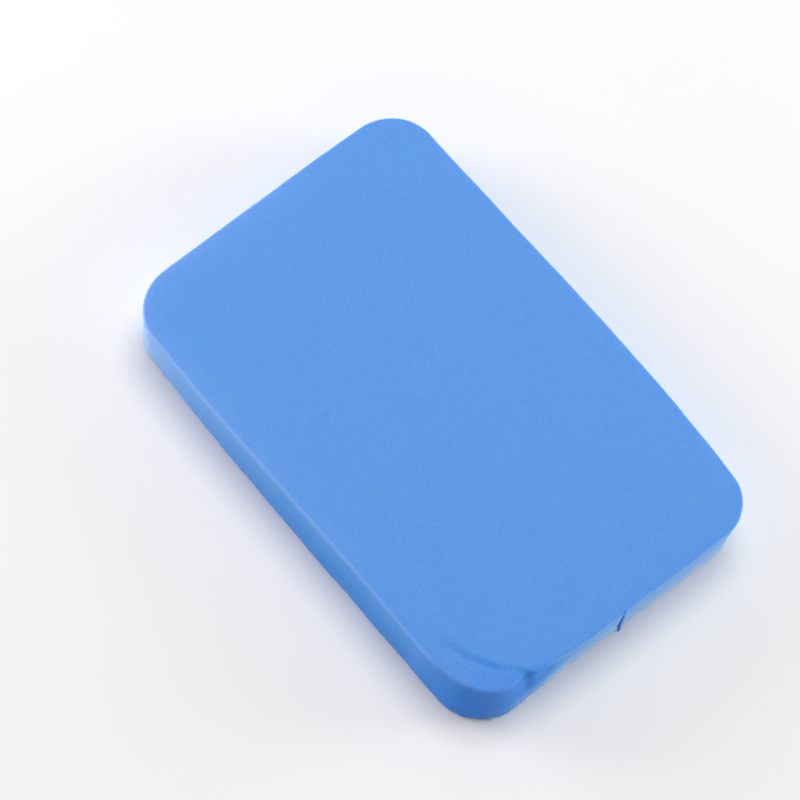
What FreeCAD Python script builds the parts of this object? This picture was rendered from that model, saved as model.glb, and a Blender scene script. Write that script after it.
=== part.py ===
import FreeCAD, Part
import math
import os

from FreeCAD import Vector

# Detailing clay bar: one moulded slab of blue clay, lying flat.
# +X runs along the bar to the end with the pressed corner, +Y across it, +Z up.
# The origin is under the middle of the bar, on the flat face it rests on.

# Driving dimensions, millimetres
LENGTH = 93.0                 # between the two short side lines, before their slight bulges
WIDTH = 59.5                  # between the two long side lines, before their slight bulges
THICKNESS = 10.7
TOP_RIM_RADIUS = 0.5          # rolled edge round the top face
BOTTOM_RIM_RADIUS = 0.4       # rolled edge round the resting face

# Each side is a shallow cubic from corner to corner, anticlockwise seen from above.
# The two values are how far it pulls outwards at one third and at two thirds of the way.
TOP_PULLS = {"long_right": (3.3, 0.0), "short_far": (0.6, 0.0),
             "long_left": (1.7, -2.2), "short_near": (-1.4, 0.4)}
BOTTOM_PULLS = {"long_right": (3.3, 0.0), "short_far": (0.6, 0.0),
                "long_left": (1.7, 0.2), "short_near": (-2.0, 0.7)}

# Upright corner radii at the bottom and the top: (+X +Y), (-X +Y), (-X -Y), (+X -Y).
# The last corner has been squeezed, so its top stands further in than its foot.
BOTTOM_CORNER_RADII = (8.5, 8.3, 8.6, 9.8)
TOP_CORNER_RADII = (7.5, 8.3, 8.2, 13.5)

# The pressed flap: outside a curved crease the top face of the squeezed corner is lower.
CREASE_START = (33.5, -24.6)  # where the crease fades in, near the long side
CREASE_MIDDLE = (40.2, -21.7)
CREASE_END = (44.5, -17.4)    # at the short side, where the step is deepest
FLAP_DROP = 1.1               # how far below the top face the flap is at the crease's end

# The nick: an upright V-shaped crease in the short side at the same end.
NICK_Y = 1.3
NICK_WIDTH = 0.9
NICK_DEPTH = 0.8

REACH = 20.0                  # how far cutting tools run past the bar


def side_edge(start, end, pulls):
    """One side of the outline, pulled outwards (to the right of its direction)."""
    along = end - start
    outward = Vector(along.y, -along.x, 0).normalize()
    curve = Part.BezierCurve()
    curve.setPoles([start,
                    start + along * (1 / 3) + outward * pulls[0],
                    start + along * (2 / 3) + outward * pulls[1],
                    end])
    return curve.toShape()


def outline(height, pulls):
    """The four sides at one height, with sharp corners."""
    x, y = LENGTH / 2, WIDTH / 2
    corners = [Vector(x, y, height), Vector(-x, y, height),
               Vector(-x, -y, height), Vector(x, -y, height)]
    names = ("long_right", "short_far", "long_left", "short_near")
    edges = [side_edge(corners[i], corners[(i + 1) % 4], pulls[names[i]]) for i in range(4)]
    return Part.Wire(edges)


def upright_edge(solid, sign_x, sign_y):
    """The upright edge at one corner of the sharp-cornered slab."""
    return max(solid.Edges, key=lambda edge: sign_x * edge.CenterOfMass.x
               + sign_y * edge.CenterOfMass.y - abs(edge.CenterOfMass.z - THICKNESS / 2))


def rim_edges(solid, height):
    """All edges lying at one height."""
    return [edge for edge in solid.Edges
            if all(abs(vertex.Z - height) < 1e-4 for vertex in edge.Vertexes)
            and abs(edge.CenterOfMass.z - height) < 1e-4]


def slab():
    """The moulded slab with its four rounded upright corners."""
    bottom = outline(0, BOTTOM_PULLS)
    top = outline(THICKNESS, TOP_PULLS)
    solid = Part.makeLoft([bottom, top], True, True)
    signs = [(1, 1), (-1, 1), (-1, -1), (1, -1)]
    for (sign_x, sign_y), low, high in zip(signs, BOTTOM_CORNER_RADII, TOP_CORNER_RADII):
        edge = upright_edge(solid, sign_x, sign_y)
        start_is_low = edge.valueAt(edge.FirstParameter).z < THICKNESS / 2
        radii = (low, high) if start_is_low else (high, low)
        solid = solid.makeFillet(radii[0], radii[1], [edge])
    return solid


def rolled(solid):
    """The slab with its top and bottom rims rolled over."""
    solid = solid.makeFillet(TOP_RIM_RADIUS, rim_edges(solid, THICKNESS))
    return solid.makeFillet(BOTTOM_RIM_RADIUS, rim_edges(solid, 0))


def flap_cutter():
    """The space above the pressed flap, bounded inside by the curved crease."""
    start = Vector(*CREASE_START, 0)
    middle = Vector(*CREASE_MIDDLE, 0)
    end = Vector(*CREASE_END, 0)
    away = Vector(end.y - start.y, start.x - end.x, 0).normalize() * REACH
    crease = Part.Arc(start, middle, end).toShape()
    loop = Part.Wire([crease,
                      Part.makeLine(end, end + away),
                      Part.makeLine(end + away, start + away),
                      Part.makeLine(start + away, start)])
    prism = Part.Face(loop).extrude(Vector(0, 0, REACH))
    # Tipped about a line through its start, its floor falls towards the crease's end.
    slope = math.degrees(math.atan2(FLAP_DROP, start.distanceToPoint(end)))
    prism.rotate(start, away, -slope)
    prism.translate(Vector(0, 0, THICKNESS))
    return prism


def nick_cutter():
    """An upright wedge whose point is NICK_DEPTH inside the short side's line."""
    side_x = LENGTH / 2
    point = Vector(side_x - NICK_DEPTH, NICK_Y, -1)
    mouth = [Vector(side_x + NICK_DEPTH, NICK_Y + sign * NICK_WIDTH, -1) for sign in (-1, 1)]
    loop = Part.makePolygon([point, mouth[0], mouth[1], point])
    return Part.Face(loop).extrude(Vector(0, 0, THICKNESS + 2))


def centred(solid):
    """The bar moved so that its box is centred on the origin and rests on z = 0."""
    box = solid.optimalBoundingBox(True, False)
    solid.translate(Vector(-box.Center.x, -box.Center.y, -box.ZMin))
    return solid


def clay_bar():
    bar = rolled(slab()).cut(flap_cutter()).cut(nick_cutter())
    return centred(bar.removeSplitter())


os.makedirs("parts", exist_ok=True)
bar = clay_bar()
if not bar.isValid() or len(bar.Solids) != 1:
    raise RuntimeError("clay_bar is not one valid solid")
bar.Solids[0].exportStep("parts/clay_bar.step")
size = bar.optimalBoundingBox(True, False)
print("clay_bar %.2f x %.2f x %.2f mm, %.1f cm3"
      % (size.XLength, size.YLength, size.ZLength, bar.Volume / 1000))
print("x %.3f..%.3f y %.3f..%.3f z %.3f..%.3f"
      % (size.XMin, size.XMax, size.YMin, size.YMax, size.ZMin, size.ZMax))
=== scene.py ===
"""Blue detailing clay bar on a pale floor: the looks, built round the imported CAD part."""
import math

import bpy
import numpy as np
from mathutils import Matrix, Vector
from mathutils.geometry import delaunay_2d_cdt


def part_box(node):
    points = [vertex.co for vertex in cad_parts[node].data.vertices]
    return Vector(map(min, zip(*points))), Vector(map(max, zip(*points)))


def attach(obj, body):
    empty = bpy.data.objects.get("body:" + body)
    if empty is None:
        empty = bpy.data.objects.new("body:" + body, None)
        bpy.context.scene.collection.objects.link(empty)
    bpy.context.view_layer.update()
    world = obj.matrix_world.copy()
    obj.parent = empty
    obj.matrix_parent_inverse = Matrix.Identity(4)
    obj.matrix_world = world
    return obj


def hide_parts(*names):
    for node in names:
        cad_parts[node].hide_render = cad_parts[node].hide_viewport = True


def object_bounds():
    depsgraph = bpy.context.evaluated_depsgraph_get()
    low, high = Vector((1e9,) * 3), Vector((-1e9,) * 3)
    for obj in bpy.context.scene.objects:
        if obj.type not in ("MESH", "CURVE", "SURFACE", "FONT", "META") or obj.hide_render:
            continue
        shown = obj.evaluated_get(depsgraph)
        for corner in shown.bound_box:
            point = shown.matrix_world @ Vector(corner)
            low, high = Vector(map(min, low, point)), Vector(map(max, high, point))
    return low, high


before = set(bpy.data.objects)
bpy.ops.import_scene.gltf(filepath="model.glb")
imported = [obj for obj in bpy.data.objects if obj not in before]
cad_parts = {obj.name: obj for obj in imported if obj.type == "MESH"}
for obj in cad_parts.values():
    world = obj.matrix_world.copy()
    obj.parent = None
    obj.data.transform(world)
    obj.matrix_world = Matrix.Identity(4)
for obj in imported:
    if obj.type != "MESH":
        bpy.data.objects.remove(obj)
cad_low, cad_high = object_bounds()
bar_low, bar_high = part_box("clay_bar")

# ---------------------------------------------------------------------------
# Sizes, in millimetres. The bar's own size comes from the CAD node.
# +X runs along the bar to its squeezed end, +Y across it, +Z up.
# ---------------------------------------------------------------------------
MM = 0.001
END_BULGE = 0.20              # what the short sides' bulges add to half of the length
LONG_BULGE = 1.12             # what the long sides' bulges add to half of the width
HALF_X = (bar_high.x - bar_low.x) / 2 / MM - END_BULGE
HALF_Y = (bar_high.y - bar_low.y) / 2 / MM - LONG_BULGE
THICKNESS = (bar_high.z - bar_low.z) / MM

# Corners anticlockwise from (+X +Y), sides anticlockwise from the +Y one. A side is a cubic,
# and its two pulls are how far out its control points stand, one and two thirds of the way along.
CORNER_SIGNS = ((1, 1), (-1, 1), (-1, -1), (1, -1))
BOTTOM_RADII = np.array((7.9, 8.3, 8.6, 9.8))
TOP_RADII = np.array((6.4, 8.3, 8.2, 9.1))
BOTTOM_PULLS = np.array(((3.3, 0.0), (0.6, 0.0), (1.7, 0.2), (-2.0, 0.7)))
TOP_PULLS = np.array(((3.3, 0.0), (0.6, 0.0), (1.7, -2.2), (-1.4, 0.4)))
WALL_SWAY = 0.05              # slow unevenness of the walls

RIM_RADIUS = 0.45             # rolled top edge
RIM_UNEVEN = 0.12             # share by which that radius wanders along the edge
SOFT_RIM = 0.1                # extra roll of the rim just past the pinch
FOOT_RADIUS = 0.30            # where the wall turns under

# The squeezed corner. The crease runs from near the long side to the pinch in the short side.
CREASE = ((30.0, -26.5), (31.9, -25.75), (36.2, -23.9), (40.2, -21.6),
          (42.65, -19.1), (44.65, -17.75), (46.5, -17.5))
PINCH = (45.6, -17.4)
# how far the corner's top edge is pushed in, by distance along the edge past the pinch
SQUEEZE = ((-25.0, 0.0), (-22.1, 0.3), (-16.4, 1.55), (-14.0, 1.95), (-11.6, 2.05),
           (-4.0, 1.8), (-1.15, 2.0), (0.25, 0.97), (5.0, 0.46), (11.0, 0.0))
SQUEEZE_BLUR = 0.35           # rounding of that table's corners
SQUEEZE_FADE = 1.25           # power of the height by which the push fades towards the foot
HOLLOW_DEPTH = 0.34           # of the wall under the rim, just past the pinch
NOTCH_DEPTH = 0.12            # of the rim at the pinch
# width of the face's roll down into the crease, and the step down there, by share of the way along it
ROLL_WIDTH = ((0.0, 2.4), (0.4, 1.5), (0.65, 1.3), (0.9, 0.8))
STEP = ((0.0, 0.0), (0.12, 0.03), (0.35, 0.06), (0.60, 0.09), (0.78, 0.10), (0.87, 0.32), (1.0, 0.8))
WAY_BLUR = 0.03               # rounding of the corners of tables by share of the way
FLAP_RISE = 0.28              # share of the step that the flap climbs back beyond the crease

# The nick, an upright cut in the short side
NICK = (46.4, 1.45)
NICK_LEAN = -0.36             # how much further past the pinch its top is than its foot
NICK_WIDTH = 0.13             # of its sharp bend; the other one widens towards the foot
NICK_DEPTHS = (0.12, 0.20)    # at its top and lower down
TAB_REACH = 0.54              # of the scrap of flash at its foot
TAB_HALF_LENGTH = 1.05

# The flash, a lip that the mould left along the lowest part of the wall
FLASH_HEIGHT = 1.1
FLASH_REACH = 0.13
CRUMB = -8.6                  # its crumb, by distance along the edge past the pinch
CRUMB_REACH = 0.45

# The top face
CROWN = 0.10                  # how far it has sunk at its very edge
MEAN_CORNER = 8.5             # corner radius of the plain rectangle that its edge is measured from
MARK_DEPTH = 0.012
HAIRLINE_WIDTH = 0.13

# The mesh
RIM_STEPS = 7                 # rings round the rolled rim
WALL_ROWS = 22                # rings down the wall, crowded towards the foot by a power
ROW_CROWDING = 1.15
TOP_STEP = 0.75               # lattice steps of the top face and of the underside
FOOT_STEP = 1.6
PATCH_STEP = 0.2              # of the finer patch round the crease
PATCH_LOW, PATCH_HIGH = (30.5, -29), (47, -11)
PATCH_LEFT, PATCH_RIGHT = -3.2, 7      # how far it goes to each side of the crease
MARK_CLEARANCE = 0.45         # between the top face's lattice and the points of its marks


def smooth(t):
    """0 to 1 with flat ends."""
    t = np.clip(t, 0, 1)
    return t * t * (3 - 2 * t)


def bell(x, width):
    """1 at zero, and next to nothing from twice the width on."""
    return np.exp(-(x / width) ** 2)


def soft_table(x, table, blur):
    """A table read between its rows, with its corners rounded off."""
    steps, values = np.array(table).T
    shifts = np.linspace(-1, 1, 7) * 1.5 * blur
    weights = bell(shifts, 1.2 * blur)
    return sum(w * np.interp(x + o, steps, values) for o, w in zip(shifts, weights)) / weights.sum()


def waves(x, seed, scale, octaves=4):
    """Seeded ragged noise along a line, about -1 to 1."""
    rng = np.random.default_rng(seed)
    total = np.zeros_like(x)
    for octave in range(octaves):
        phase, stretch = rng.uniform(0, 2 * math.pi), rng.uniform(0.85, 1.15)
        turn, twist = rng.uniform(0, 2 * math.pi), rng.uniform(0.30, 0.45)
        k = 2 * math.pi / scale * 1.9 ** octave * stretch
        total += 0.62 ** octave * np.sin(k * x + phase + 1.6 * np.sin(twist * k * x + turn))
    return total / 1.8


# ---------------------------------------------------------------------------
# The outline, as a function of perimeter distance and height
# ---------------------------------------------------------------------------
MEAN_RADII = (BOTTOM_RADII + TOP_RADII) / 2


def side_length(index, radii):
    """Length of a side between the arcs of its two corners."""
    full = 2 * (HALF_X if index % 2 == 0 else HALF_Y)
    return full - radii[index] - radii[(index + 1) % 4]


# stretches along the perimeter: corner 0, side 0, corner 1, side 1, ...
STRETCHES = []
for i in range(4):
    STRETCHES.append(MEAN_RADII[i] * math.pi / 2)
    STRETCHES.append(side_length(i, MEAN_RADII))
STARTS = np.concatenate(([0], np.cumsum(STRETCHES)))
PERIMETER = STARTS[-1]


def pull(u, pair):
    """How far a side bulges out at the share u of its way, from its two pulls."""
    return 3 * u * (1 - u) * ((1 - u) * pair[0] + u * pair[1])


def outline(distance, height):
    """Points and outward normals at perimeter distances (mm) and height fractions (0 to 1)."""
    distance = np.mod(distance, PERIMETER)
    height = np.broadcast_to(np.asarray(height, float), distance.shape)
    stretch = np.clip(np.searchsorted(STARTS, distance, side="right") - 1, 0, 7)
    part = (distance - STARTS[stretch]) / np.array(STRETCHES)[stretch]
    index = stretch // 2
    radii = BOTTOM_RADII[None] * (1 - height[:, None]) + TOP_RADII[None] * height[:, None]
    signs = np.array(CORNER_SIGNS, float)
    centres = signs[None] * (np.array((HALF_X, HALF_Y))[None, None] - radii[..., None])
    rows = np.arange(len(distance))
    following = (index + 1) % 4
    angle = (index + np.where(stretch % 2 == 0, part, 1.0)) * math.pi / 2
    normal = np.stack([np.cos(angle), np.sin(angle)], 1)
    start = centres[rows, index] + radii[rows, index][:, None] * normal
    end = centres[rows, following] + radii[rows, following][:, None] * normal
    along = np.where(stretch % 2 == 0, 0.0, part)[:, None]
    point = start * (1 - along) + end * along
    pulls = BOTTOM_PULLS[None] * (1 - height[:, None, None]) + TOP_PULLS[None] * height[:, None, None]
    x, y = point.T
    ways = ((HALF_X - x) / (2 * HALF_X), (HALF_Y - y) / (2 * HALF_Y),
            (HALF_X + x) / (2 * HALF_X), (HALF_Y + y) / (2 * HALF_Y))
    shares = (np.clip(normal[:, 1], 0, 1) ** 2, np.clip(-normal[:, 0], 0, 1) ** 2,
              np.clip(-normal[:, 1], 0, 1) ** 2, np.clip(normal[:, 0], 0, 1) ** 2)
    for side in range(4):
        way = np.clip(ways[side], 0, 1)
        point = point + normal * (shares[side] * pull(way, pulls[:, side].T))[:, None]
    return point, normal


def station(place):
    """Perimeter distance of the outline's point nearest to a place."""
    distance = np.linspace(0, PERIMETER, 4000, endpoint=False)
    point, _ = outline(distance, 1.0)
    return distance[np.argmin(((point - np.array(place)) ** 2).sum(1))]


PINCH_AT = station(PINCH)
NICK_AT = station(NICK)


def signed_gap(distance, place):
    """Perimeter distance past a place, the shorter way round."""
    return np.mod(distance - place + PERIMETER / 2, PERIMETER) - PERIMETER / 2


def squeeze(distance, height):
    """How far the wall is pushed in round the squeezed corner."""
    gap = signed_gap(distance, PINCH_AT)
    amount = soft_table(gap, SQUEEZE, SQUEEZE_BLUR)
    hollow = HOLLOW_DEPTH * bell(gap - 2.2, 3.2) * bell(height - 0.74, 0.18)
    notch = NOTCH_DEPTH * bell(gap + 0.25, 0.75) * smooth((height - 0.68) / 0.3)
    return amount * np.clip(height, 0, 1) ** SQUEEZE_FADE + hollow + notch


def nick(distance, height):
    """How far the wall dips in at the nick: a sharp bend on the pinch's side, a slower one beyond."""
    low = 1 - np.clip(height, 0, 1)
    gap = signed_gap(distance, NICK_AT) - NICK_LEAN * (1 - low)
    shallow, deep = NICK_DEPTHS
    depth = (shallow + (deep - shallow) * smooth(low * 1.5)) * (1 - bell(height, 0.12))
    return depth * np.where(gap < 0, bell(gap, NICK_WIDTH), bell(gap, NICK_WIDTH + 0.5 * low ** 1.5))


def tab(distance, height):
    """The scrap of flash that stands out at the foot of the nick."""
    reach = 1 - smooth(np.abs(signed_gap(distance, NICK_AT)) / TAB_HALF_LENGTH)
    return TAB_REACH * reach * bell(np.clip(height, 0, 1), 0.12)


def flash(distance, height):
    """The ragged lip that the mould left along the foot of the wall."""
    lip = np.clip(1 - height * THICKNESS / FLASH_HEIGHT, 0, 1) ** 1.4
    gap = signed_gap(distance, PINCH_AT)
    ragged = FLASH_REACH + 0.06 * waves(distance, 3, 7.0) + 0.06 * np.abs(waves(distance, 8, 1.9))
    # more ragged round the pinch
    ragged += bell(gap - 1, 9) * (0.16 * waves(distance, 21, 5.2, 3) + 0.07 * waves(distance, 22, 1.6, 3))
    # the crumb, a fuller stretch at the (-X -Y) corner, and a barer one before the crumb
    ragged += CRUMB_REACH * bell(gap - CRUMB, 0.55) + 0.22 * bell(gap + 100, 8) - 0.2 * bell(gap + 11.5, 2.0)
    return ragged * lip


def wall(distance, height):
    """Wall points (x, y) and normals at perimeter distances and heights."""
    point, normal = outline(distance, height)
    height = np.broadcast_to(np.asarray(height, float), distance.shape)
    out = flash(distance, height) + tab(distance, height)
    out = out - squeeze(distance, height) - nick(distance, height)
    out = out + WALL_SWAY * waves(distance, 5, 23.0, 3)
    return point + normal * out[:, None], normal


# ---------------------------------------------------------------------------
# Relief of the top face
# ---------------------------------------------------------------------------
def spline(points, steps):
    """A Catmull-Rom curve through the points."""
    p = np.array(points, float)
    p = np.vstack([2 * p[0] - p[1], p, 2 * p[-1] - p[-2]])
    t = np.linspace(0, 1, steps, endpoint=False)[:, None]
    pieces = []
    for a, b, c, d in zip(p, p[1:], p[2:], p[3:]):
        pieces.append(b + 0.5 * t * (c - a + t * (2 * a - 5 * b + 4 * c - d + t * (3 * (b - c) + d - a))))
    return np.vstack(pieces + [p[-2][None]])


def to_line(points, line):
    """Signed distance (right of the line is positive) and share of the way along it."""
    best = np.full(len(points), 1e9)
    sign = np.zeros(len(points))
    way = np.zeros(len(points))
    steps = np.linalg.norm(np.diff(line, axis=0), axis=1)
    run = np.concatenate(([0], np.cumsum(steps)))
    for i in range(len(line) - 1):
        a, d = line[i], line[i + 1] - line[i]
        t = np.clip(((points - a) @ d) / (d @ d), 0, 1)
        gap = points - a - t[:, None] * d
        length = np.hypot(gap[:, 0], gap[:, 1])
        near = length < best
        best = np.where(near, length, best)
        cross = gap[:, 0] * d[1] - gap[:, 1] * d[0]
        sign = np.where(near, np.sign(cross), sign)
        way = np.where(near, (run[i] + t * steps[i]) / run[-1], way)
    return best * sign, way


CREASE_LINE = spline(CREASE, 6)

# Faint hairlines and pits in the top face: (start, bend, end) and (place, radius).
HAIRLINES = (((-10.6, -20.4), (-10.1, -15.5), (-10.4, -10.8)),
             ((-3.4, 3.0), (-3.3, 5.2), (-3.7, 7.2)),
             ((7.7, 14.4), (8.0, 16.2), (8.7, 17.9)),
             ((30.0, 9.4), (30.3, 10.6), (30.1, 12.0)))
PITS = (((11.6, 11.3), 0.26), ((29.9, 9.2), 0.28), ((31.6, -15.4), 0.22), ((-35.1, -4.8), 0.22),
        ((-29.4, 22.7), 0.24), ((-38.8, 4.8), 0.20), ((29.3, 26.2), 0.22))


def edge_gap(points):
    """Distance in from the plain rounded rectangle's edge."""
    q = np.abs(points) - np.array((HALF_X - MEAN_CORNER, HALF_Y - MEAN_CORNER))
    outside = np.hypot(*np.clip(q, 0, None).T)
    return MEAN_CORNER - outside - np.minimum(np.max(q, 1), 0)


def marks(points):
    """0 to 1 over the hairlines and pits."""
    total = np.zeros(len(points))
    for mark in HAIRLINES:
        gap, way = to_line(points, spline(mark, 8))
        total = np.maximum(total, bell(gap, HAIRLINE_WIDTH) * (0.35 + 0.65 * np.sin(math.pi * way)))
    for place, radius in PITS:
        total = np.maximum(total, bell(np.hypot(*(points - np.array(place)).T), radius * 0.6))
    return total


def step_down(points):
    """Relief of the crease: the face rolls down into it, and the flap beyond lies lower."""
    gap, way = to_line(points, CREASE_LINE)
    depth = soft_table(way, STEP, WAY_BLUR)
    roll = np.clip(1 + gap / soft_table(way, ROLL_WIDTH, WAY_BLUR), 0, 1)
    rise = 1 - FLAP_RISE * smooth(gap / 1.3)
    return -depth * np.where(gap < 0, roll ** 1.7, rise)


def relief(points):
    """Height of the top face above the nominal thickness."""
    x, y = points.T
    crown = -CROWN * np.exp(-np.clip(edge_gap(points), 0, None) / 1.3)
    roll = 0.035 * np.sin(x / 9.7 + 0.4) * np.cos(y / 8.1 - 0.7) + 0.02 * np.sin((x + 1.4 * y) / 5.3)
    return crown + roll - MARK_DEPTH * marks(points) + step_down(points)


# ---------------------------------------------------------------------------
# The mesh: rings from the top face's edge down the wall, and a triangulated top face and underside
# ---------------------------------------------------------------------------
def columns():
    """Perimeter distances of the rings' points, closer together where the wall has detail."""
    fine = np.linspace(0, PERIMETER, 24000, endpoint=False)
    pinch, near_nick = signed_gap(fine, PINCH_AT), signed_gap(fine, NICK_AT)
    # points a millimetre: more of them round the squeezed corner, at the pinch and at the nick
    density = 2.6 + 2.4 * (np.abs(pinch + 8) < 20)
    density += 4 * bell(pinch, 2.0) + 16 * bell(near_nick, 0.5) + 4 * bell(near_nick, 2.0)
    run = np.cumsum(density)
    count = int(run[-1] * PERIMETER / len(fine))
    wanted = (np.arange(count) + 0.5) / count * run[-1]
    return np.interp(wanted, run, fine)


def build_rings(distance):
    """Rings of points from the top face's edge to the underside's edge."""
    gap = signed_gap(distance, PINCH_AT)
    radius = RIM_RADIUS * (1 + RIM_UNEVEN * waves(distance, 31, 17.0, 3)) + SOFT_RIM * bell(gap - 3.2, 2.6)
    edge, normal = wall(distance, 1.0)
    dip = nick(distance, 1.0)
    rings = []
    for step in range(RIM_STEPS):
        turn = math.pi / 2 * step / (RIM_STEPS - 1)
        back = radius * (1 - math.sin(turn)) - dip * math.cos(turn)
        place = edge - normal * back[:, None]
        high = THICKNESS + relief(place) - radius * (1 - math.cos(turn))
        rings.append(np.column_stack([place, high]))
    top = rings[-1][:, 2]
    for share in np.linspace(1, 0, WALL_ROWS + 1)[1:] ** ROW_CROWDING:
        high = FOOT_RADIUS + share * (top - FOOT_RADIUS)
        place, _ = wall(distance, high / THICKNESS)
        rings.append(np.column_stack([place, high]))
    foot = rings[-1][:, :2]
    for turn in np.radians((30, 60, 90)):
        place = foot - normal * (FOOT_RADIUS * (1 - math.cos(turn)))
        high = np.full(len(distance), FOOT_RADIUS * (1 - math.sin(turn)))
        rings.append(np.column_stack([place, high]))
    return rings


def grid(step, low, high):
    """A triangular lattice of points over a rectangle."""
    xs = np.arange(low[0], high[0], step)
    ys = np.arange(low[1], high[1], step * math.sqrt(0.75))
    x, y = np.meshgrid(xs, ys)
    x = x + (np.arange(len(ys)) % 2)[:, None] * step / 2
    return np.column_stack([x.ravel(), y.ravel()])


def within(points, ring, margin=0.0):
    """Whether each point lies inside a ring of points, by at least a margin."""
    keep = np.zeros(len(points), bool)
    following = np.roll(ring, -1, 0)
    batch = 4000
    for start in range(0, len(points), batch):
        p = points[start:start + batch]
        x, y = p[:, 0][:, None], p[:, 1][:, None]
        crosses = (ring[:, 1] > y) != (following[:, 1] > y)
        rise = following[:, 1] - ring[:, 1]
        slope = (following[:, 0] - ring[:, 0]) / np.where(np.abs(rise) < 1e-9, 1e-9, rise)
        odd = (crosses & (x < ring[:, 0] + (y - ring[:, 1]) * slope)).sum(1) % 2 == 1
        apart = ((x - ring[:, 0]) ** 2 + (y - ring[:, 1]) ** 2).min(1) >= margin ** 2
        keep[start:start + batch] = odd & apart
    return keep


def in_patch(points, spare=0.0):
    """Whether each point lies in the finer patch round the crease, or within a spare width of it."""
    gap, _ = to_line(points, CREASE_LINE)
    beside = (gap > PATCH_LEFT - spare) & (gap < PATCH_RIGHT + spare)
    return beside & (points[:, 0] >= PATCH_LOW[0] - spare) & (points[:, 1] <= PATCH_HIGH[1] + spare)


def mark_points():
    """Points along and beside the hairlines, and in and round the pits."""
    sets = []
    for mark in HAIRLINES:
        line = spline(mark, 14)
        for offset in (-0.36, -0.2, -0.1, 0, 0.1, 0.2, 0.36):
            sets.append(line + np.array((offset, 0.0)))
    turn = np.linspace(0, 2 * math.pi, 9)[:-1]
    circle = np.column_stack([np.cos(turn), np.sin(turn)])
    for place, radius in PITS:
        sets.append(np.array(place)[None])
        sets += [circle * radius * k + place for k in (0.35, 0.7, 1.1, 1.6)]
    return np.vstack(sets)


def face_points(ring, step, detailed=False):
    """Points inside a flat face: a lattice and, in the top face, finer ones at the crease and marks."""
    lattice = grid(step, ring.min(0), ring.max(0))
    finer = []
    if detailed:
        patch = grid(PATCH_STEP, PATCH_LOW, PATCH_HIGH)
        patch = patch[in_patch(patch)]
        marked = mark_points()
        finer = [patch[within(patch, ring, 0.8 * PATCH_STEP)], marked]
        lattice = lattice[~in_patch(lattice, 0.5 * PATCH_STEP)]
        clear = np.ones(len(lattice), bool)
        for point in marked[::3]:
            clear &= ((lattice - point) ** 2).sum(1) > MARK_CLEARANCE ** 2
        lattice = lattice[clear]
    return np.vstack(finer + [lattice[within(lattice, ring, 0.75 * step)]])


def triangulate(ring, interior):
    """Triangles over a ring and interior points, as rows of (ring + interior) indices."""
    points = np.vstack([ring, interior])
    loop = list(range(len(ring)))
    out = delaunay_2d_cdt([Vector(p) for p in points.tolist()], [], [loop], 1, 1e-6, True)
    source = np.array([ids[0] if ids else -1 for ids in out[3]])
    triangles = source[np.array(out[2])]
    triangles = triangles[(triangles >= 0).all(1)]
    # a triangle between edge points alone may lie outside a hollow in the edge
    bridging = np.flatnonzero((triangles < len(ring)).all(1))
    centres = points[triangles[bridging]].mean(1)
    return np.delete(triangles, bridging[~within(centres, ring)], 0)


def clay_mesh(distance):
    """Points and faces of the bar, the rings' points first, and the number of rings."""
    rings = build_rings(distance)
    count = len(distance)
    index = np.arange(count)
    following = (index + 1) % count
    quads = []
    for row in range(len(rings) - 1):
        upper, lower = row * count, (row + 1) * count
        quads.append(np.column_stack([upper + index, lower + index, lower + following, upper + following]))
    top_ring = rings[0][:, :2]
    top_inner = face_points(top_ring, TOP_STEP, detailed=True)
    top_high = THICKNESS + relief(top_inner)
    top_faces = triangulate(top_ring, top_inner)
    foot_ring = rings[-1][:, :2]
    foot_inner = face_points(foot_ring, FOOT_STEP)
    foot_faces = triangulate(foot_ring, foot_inner)[:, ::-1]
    # from each face's own numbering of its points to the whole mesh's
    top_start = len(rings) * count
    top_faces = np.where(top_faces >= count, top_faces - count + top_start, top_faces)
    foot_start = top_start + len(top_inner)
    last_ring = top_start - count
    foot_faces = np.where(foot_faces >= count, foot_faces - count + foot_start, foot_faces + last_ring)
    points = np.vstack(rings + [np.column_stack([top_inner, top_high]),
                                np.column_stack([foot_inner, np.zeros(len(foot_inner))])])
    faces = np.vstack(quads).tolist() + top_faces.tolist() + foot_faces.tolist()
    return points, faces, len(rings)


distance = columns()
points, faces, ring_count = clay_mesh(distance)

# the plain outline's middle goes to the middle of the CAD box
middle = np.array((cad_low + cad_high) / 2 / MM)[:2]
plain = np.vstack([outline(np.linspace(0, PERIMETER, 4000, endpoint=False), h)[0] for h in (0.0, 1.0)])
shift = middle - (plain.min(0) + plain.max(0)) / 2
placed = points.copy()
placed[:, :2] += shift
mesh = bpy.data.meshes.new("clay_bar_body")
mesh.from_pydata((placed * MM).tolist(), [], faces)
mesh.validate()
mesh.shade_smooth()
clay = bpy.data.objects.new("clay_bar_body", mesh)
bpy.context.scene.collection.objects.link(clay)

# ---------------------------------------------------------------------------
# Painted light on the clay, from 0 to 1 at each of the mesh's points: painted shade in the nick with darker
# marks, painted sheen, highlight and reflection, and painted shade as a deeper blue
# ---------------------------------------------------------------------------
# darker in the hairlines and pits
MARK_DARKENING = 0.10
# painted sheen on the top face, more beside its edges towards the (-X -Y) corner, standing for the gloss of
# the key light
FACE_PAINTED_SHEEN = 0.16
FACE_EDGE_PAINTED_SHEEN = 0.09         # more beside the edges towards the (-X -Y) corner
# painted highlight on the rolled rim
RIM_PAINTED_HIGHLIGHT = 0.25
# painted reflections of the pale surroundings on the short wall and round the (-X -Y) corner
SHORT_WALL_PAINTED_REFLECTION = 0.48        # past the pinch
CORNER_PAINTED_REFLECTION = 0.75            # round the (-X -Y) corner, at CORNER_PLACE past the pinch
CORNER_PLACE = -103
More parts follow.
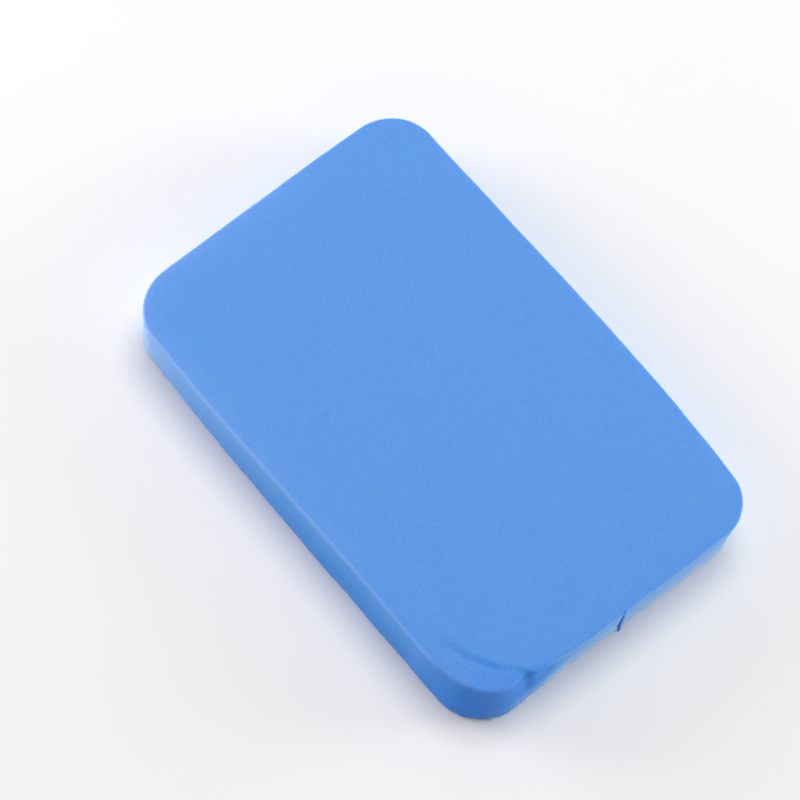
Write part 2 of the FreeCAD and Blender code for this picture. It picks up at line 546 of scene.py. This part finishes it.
# how much of the painted sheen the fold loses, a painted shade in the crease, by share of the way along it
FOLD_PAINTED_SHADE = ((0.0, 0.0), (0.15, 0.28), (0.6, 0.5), (0.75, 0.30), (0.9, 0.6), (1.0, 0.9))
FLAP_PAINTED_SHADE = 0.30              # the same for the flap beyond the crease
PINCH_PAINTED_SHADE = 0.35             # and beside the pinch
# painted shade as a deeper blue: in the fold, round the squeezed corner and low on the -Y wall
FOLD_DEEP_SHADE = 0.7
CORNER_DEEP_SHADE = 0.75
LONG_WALL_DEEP_SHADE = 0.3

# ring number, distances along the edge and share of the way down, for the points of the rings
top_start = ring_count * len(distance)
ring_of = np.repeat(np.arange(ring_count), len(distance))
past_pinch = np.tile(signed_gap(distance, PINCH_AT), ring_count)
past_nick = np.tile(signed_gap(distance, NICK_AT), ring_count)
down = 1 - np.clip(points[:top_start, 2] / THICKNESS, 0, 1)

# the points near the top, seen from above
on_top = points[:, 2] > THICKNESS - 2.0
face = points[on_top][:, :2]

# 1 along the short side past the pinch and round the corner beyond it
short_side = smooth((past_pinch - 2) / 6) * smooth((58 - past_pinch) / 8)
# shares of the way down the rim and on to the wall, both of them lower down on that side
down_rim = (ring_of - 2 * short_side) / (RIM_STEPS + 1)
on_wall = smooth(down_rim / (1 + short_side))


def nick_share():
    """1 in the painted shade of the nick's dark line, which widens into a wedge towards the foot."""
    beside = past_nick - NICK_LEAN * (1 - down)
    dark_side = 0.31 + 0.62 * smooth((down - 0.28) / 0.28)
    share = np.where(beside < 0, bell(beside, 0.22), smooth((dark_side - beside) / 0.3 + 0.5))
    return share * smooth((ring_of - 1) / (RIM_STEPS - 2))


def face_painted_shade():
    """How much painted shade the top face takes, as painted sheen taken away: in the fold, on the flap and
    by the pinch.
    """
    gap, way = to_line(face, CREASE_LINE)
    fold = np.where(gap < 0, 1 + gap / soft_table(way, ROLL_WIDTH, WAY_BLUR), 1 - gap / 0.5)
    face_shade = smooth(fold * 1.4) * soft_table(way, FOLD_PAINTED_SHADE, WAY_BLUR)
    face_shade = np.maximum(face_shade, FLAP_PAINTED_SHADE * smooth(gap / 0.6) * smooth((way - 0.1) / 0.7))
    beside_pinch = np.hypot(*(face - np.array(PINCH) - (-0.5, 0.5)).T)
    return np.maximum(face_shade, PINCH_PAINTED_SHADE * bell(beside_pinch, 1.7))


in_nick = nick_share()
# painted shade low on the wall at the pinch: less painted sheen and a deeper blue
in_pinch = bell(past_pinch - 1.0, np.where(past_pinch < 1, 2.4, 4.5)) * bell(down - 0.08, 0.26)
face_shade = face_painted_shade()


def shade_and_mark_darkening_values():
    """Darker in the hairlines and pits, and painted shade in the nick's dark line."""
    shade_and_mark_darkening = np.zeros(len(points))
    shade_and_mark_darkening[on_top] = MARK_DARKENING * marks(face)
    nick_shade = in_nick * (0.2 + 0.55 * smooth(down / 0.5))
    shade_and_mark_darkening[:top_start] = np.maximum(shade_and_mark_darkening[:top_start], nick_shade)
    return shade_and_mark_darkening


def wall_painted_light():
    """The painted reflection and light on the walls, at the rings' points."""
    # on the short side, painted reflection: nearer the pinch low on the wall, and stronger towards the foot
    painted_light = SHORT_WALL_PAINTED_REFLECTION * smooth((past_pinch - 4.5 * (1 - down)) / 6) * smooth((62 - past_pinch) / 10)
    painted_light *= 0.02 + 1.10 * down
    # painted reflection round the (-X -Y) corner, fading out along the -Y side; all of it so far is streaky
    painted_light += CORNER_PAINTED_REFLECTION * bell(past_pinch - CORNER_PLACE, 10) * (0.4 + 0.6 * smooth(down * 2.2))
    streaks = 1 + 0.16 * waves(down * THICKNESS + 0.35 * waves(past_pinch, 41, 30.0, 2), 43, 4.5, 3)
    painted_light = (painted_light + 0.03 + 0.15 * bell(past_pinch + 88, 22)) * streaks
    # painted light under the rim of the -Y side, and low on the wall at the pinch and beside the nick
    painted_light += 0.05 * bell(down - 0.12, 0.10) * bell(past_pinch + 60, 28)
    painted_light += 0.30 * smooth((down - 0.55) / 0.35) * bell(past_pinch - 0.5, 5.5)
    painted_light += 0.3 * bell(past_nick + 0.75, 0.45) * smooth((down - 0.7) / 0.15)
    # a painted highlight on the lip, and most of all on its crumb
    lip = smooth((down - 0.90) / 0.05)
    painted_light += lip * (0.14 + 0.12 * waves(past_pinch, 51, 2.3, 3) + 0.7 * bell(past_pinch - CRUMB, 0.6))
    return painted_light


def rim_painted_highlight():
    """The painted highlight on the rolled rim, at the rings' points: less on the short, far and squeezed
    parts.
    """
    painted_light = RIM_PAINTED_HIGHLIGHT * np.sin(math.pi * np.clip(down_rim, 0, 1)) * (1 - 0.85 * short_side)
    along = np.mod(past_pinch + PINCH_AT, PERIMETER)
    far_sides = smooth((along - STARTS[0]) / 6) * smooth((STARTS[4] - along) / 6)
    painted_light *= (1 - bell(past_pinch - 1.0, 3.5)) * (1 - 0.85 * far_sides) * (1 - 0.8 * bell(past_pinch + 12, 9))
    return painted_light


def painted_light_values():
    """The painted sheen, highlight and reflection: thin on the faces, stronger on the rolled rim and some of
    the walls.
    """
    painted_light = np.full(len(points), FACE_PAINTED_SHEEN)
    inward = np.exp(-np.clip(edge_gap(face), 0, None) / 2.5)
    leftward = -face[:, 0] / HALF_X - face[:, 1] / HALF_Y
    painted_light[on_top] += FACE_EDGE_PAINTED_SHEEN * inward * smooth(leftward - 0.2)
    # painted shade in the fold, on the flap and by the pinch: the painted sheen is taken away
    painted_light[on_top] *= 1 - face_shade
    painted_light[:top_start] = painted_light[:top_start] * (1 - on_wall) + wall_painted_light() * on_wall + rim_painted_highlight()
    # painted shade in the nick and at the pinch: the painted sheen is taken away
    painted_light[:top_start] *= (1 - in_nick) * (1 - in_pinch * smooth((ring_of - 3) / 4))
    return painted_light


def deep_shade_values():
    """Painted shade as a deeper blue: the fold, squeezed corner, pinch and nick, and low on the -Y side."""
    deep_shade = np.zeros(len(points))
    deep_shade[on_top] = FOLD_DEEP_SHADE * face_shade
    corner = CORNER_DEEP_SHADE * smooth((past_pinch + 30) / 16) * smooth((6 - past_pinch) / 7)
    long_wall = LONG_WALL_DEEP_SHADE * smooth((down - 0.3) / 0.4) * smooth((past_pinch + 90) / 20)
    long_wall *= past_pinch < 0
    for share in (corner * on_wall, long_wall * on_wall, in_pinch * on_wall, in_nick):
        deep_shade[:top_start] = np.maximum(deep_shade[:top_start], share)
    return deep_shade


def attribute(name, values):
    """Stores values at the mesh's points, where the material reads them."""
    layer = mesh.attributes.new(name, "FLOAT", "POINT")
    layer.data.foreach_set("value", np.clip(values, 0, 1).astype(np.float32))


attribute("shade_and_mark_darkening", shade_and_mark_darkening_values())
attribute("painted_light", painted_light_values())
attribute("deep_shade", deep_shade_values())

# ---------------------------------------------------------------------------
# Materials
# ---------------------------------------------------------------------------
BLUES = ((0.050, 0.280, 0.725, 1), (0.055, 0.292, 0.745, 1))     # the clay is mottled between these
# the deeper blue of the painted shade
DEEP_SHADE_BLUE = (0.028, 0.205, 0.745, 1)
# the pale colour of the painted sheen, highlight and reflection
PAINTED_LIGHT_COLOUR = (0.470, 0.635, 0.920, 1)
# the dark of the painted shade in the nick and of the darker marks
SHADE_AND_MARK_COLOUR = (0.012, 0.080, 0.340, 1)
SPECKLE = 0.14                # how far the grain thins or thickens the painted sheen
# gloss of the clay, and the lower gloss where the deeper blue of the painted shade lies
SHEEN, DEEP_SHADE_SHEEN = 0.12, 0.04
FLOOR_COLOUR = (0.88, 0.88, 0.88, 1)


def node(tree, kind, **values):
    """A new node, with its properties and unlinked inputs set by name."""
    made = tree.nodes.new(kind)
    for name, value in values.items():
        if hasattr(made, name):
            setattr(made, name, value)
        else:
            made.inputs[name.replace("_", " ")].default_value = value
    return made


def stored(tree, name):
    """The values stored at the mesh's points under a name."""
    return node(tree, "ShaderNodeAttribute", attribute_name=name).outputs["Fac"]


def laid_over(tree, share, under, over):
    """A colour laid over the output of another node, by the output that says how much."""
    mix = node(tree, "ShaderNodeMix", data_type="RGBA", B=over)
    tree.links.new(share, mix.inputs["Factor"])
    tree.links.new(under, mix.inputs["A"])
    return mix.outputs["Result"]


def clay_material():
    """Mottled blue, with a deeper blue as painted shade, a speckled painted sheen, highlight and reflection,
    painted shade in the nick, darker marks and a fine grain.
    """
    material = bpy.data.materials.new("blue_clay")
    material.use_nodes = True
    tree = material.node_tree
    shader = tree.nodes["Principled BSDF"]
    where = node(tree, "ShaderNodeTexCoord")
    mottle = node(tree, "ShaderNodeTexNoise", Scale=140.0, Detail=3.0)
    grain = node(tree, "ShaderNodeTexNoise", Scale=2600.0, Detail=3.0, Roughness=0.6)
    for texture in (mottle, grain):
        tree.links.new(where.outputs["Object"], texture.inputs["Vector"])
    blue = node(tree, "ShaderNodeMix", data_type="RGBA", A=BLUES[0], B=BLUES[1])
    tree.links.new(mottle.outputs["Fac"], blue.inputs["Factor"])
    speckle = node(tree, "ShaderNodeMapRange", To_Min=-SPECKLE, To_Max=SPECKLE)
    tree.links.new(grain.outputs["Fac"], speckle.inputs["Value"])
    painted_light = node(tree, "ShaderNodeMath", operation="ADD")
    tree.links.new(stored(tree, "painted_light"), painted_light.inputs[0])
    tree.links.new(speckle.outputs["Result"], painted_light.inputs[1])
    deep_shade = stored(tree, "deep_shade")
    colour = laid_over(tree, deep_shade, blue.outputs["Result"], DEEP_SHADE_BLUE)
    colour = laid_over(tree, painted_light.outputs["Value"], colour, PAINTED_LIGHT_COLOUR)
    colour = laid_over(tree, stored(tree, "shade_and_mark_darkening"), colour, SHADE_AND_MARK_COLOUR)
    tree.links.new(colour, shader.inputs["Base Color"])
    bump = node(tree, "ShaderNodeBump", Strength=0.6, Distance=0.0001)
    tree.links.new(grain.outputs["Fac"], bump.inputs["Height"])
    tree.links.new(bump.outputs["Normal"], shader.inputs["Normal"])
    sheen = node(tree, "ShaderNodeMapRange", To_Min=SHEEN, To_Max=DEEP_SHADE_SHEEN)
    tree.links.new(deep_shade, sheen.inputs["Value"])
    tree.links.new(sheen.outputs["Result"], shader.inputs["Specular IOR Level"])
    shader.inputs["Roughness"].default_value = 0.42
    shader.inputs["Subsurface Weight"].default_value = 1.0
    shader.inputs["Subsurface Radius"].default_value = (0.25, 0.50, 0.95)
    shader.inputs["Subsurface Scale"].default_value = 0.001
    return material


def floor_material():
    """Matt off-white."""
    material = bpy.data.materials.new("pale_floor")
    material.use_nodes = True
    shader = material.node_tree.nodes["Principled BSDF"]
    shader.inputs["Base Color"].default_value = FLOOR_COLOUR
    shader.inputs["Roughness"].default_value = 0.7
    shader.inputs["Specular IOR Level"].default_value = 0.2
    return material


clay.data.materials.append(clay_material())
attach(clay, "root")
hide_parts("clay_bar")

# ---------------------------------------------------------------------------
# Floor, light and camera. The floor and the lights are in metres and watts.
# ---------------------------------------------------------------------------
FLOOR_SIZE = 6
WORLD_STRENGTH = 0.36
ORIGIN = (0, 0, 0)

bpy.ops.mesh.primitive_plane_add(size=FLOOR_SIZE)
floor = bpy.context.object
floor.name = "floor"
floor.data.materials.append(floor_material())


def area_light(name, place, aim, size, power, colour=(1, 1, 1)):
    """A soft round light, turned towards a place."""
    data = bpy.data.lights.new(name, "AREA")
    data.shape = "DISK"
    data.size = size
    data.energy = power
    data.color = colour
    light = bpy.data.objects.new(name, data)
    light.location = place
    light.rotation_euler = (Vector(aim) - Vector(place)).to_track_quat("-Z", "Y").to_euler()
    bpy.context.scene.collection.objects.link(light)
    return light


area_light("key", (-0.22, 0.30, 0.95), ORIGIN, size=0.7, power=5.5)
# The low lights fill the walls, and are kept out of the gloss of the face and the floor.
LEFT_TINT = (1.0, 0.90, 0.96)
LEFT_AIM = (-0.02, 0, 0)
low_lights = (area_light("left", (-0.42, -0.24, 0.13), LEFT_AIM, size=0.28, power=1.65, colour=LEFT_TINT),
              area_light("right", (0.30, 0.44, 0.10), ORIGIN, size=0.24, power=1.7),
              area_light("front", (0.30, -0.55, 0.14), ORIGIN, size=0.35, power=0.09))
for light in low_lights:
    light.visible_glossy = False

world = bpy.data.worlds.new("studio")
bpy.context.scene.world = world
world.use_nodes = True
background = world.node_tree.nodes["Background"]
background.inputs["Color"].default_value = (1, 1, 1, 1)
background.inputs["Strength"].default_value = WORLD_STRENGTH

AIM = Vector((-5.7, -3.3, 5.35)) * MM
BACK = Vector((0.2152, -0.2628, 0.9406))      # from the aim towards the camera
DISTANCE = 520.0 * MM
ROLL = math.radians(12.0)
SENSOR_WIDTH = 36
FOCAL_LENGTH = 140.4

camera_data = bpy.data.cameras.new("camera")
camera_data.sensor_width = SENSOR_WIDTH
camera_data.lens = FOCAL_LENGTH
camera = bpy.data.objects.new("camera", camera_data)
aim = AIM + Vector((shift[0], shift[1], 0)) * MM
facing = (-BACK).to_track_quat("-Z", "Y").to_matrix().to_4x4()
camera.matrix_world = (Matrix.Translation(aim + BACK.normalized() * DISTANCE)
                       @ facing @ Matrix.Rotation(ROLL, 4, "Z"))
bpy.context.scene.collection.objects.link(camera)
bpy.context.scene.camera = camera
bpy.context.scene.view_settings.view_transform = "Standard"
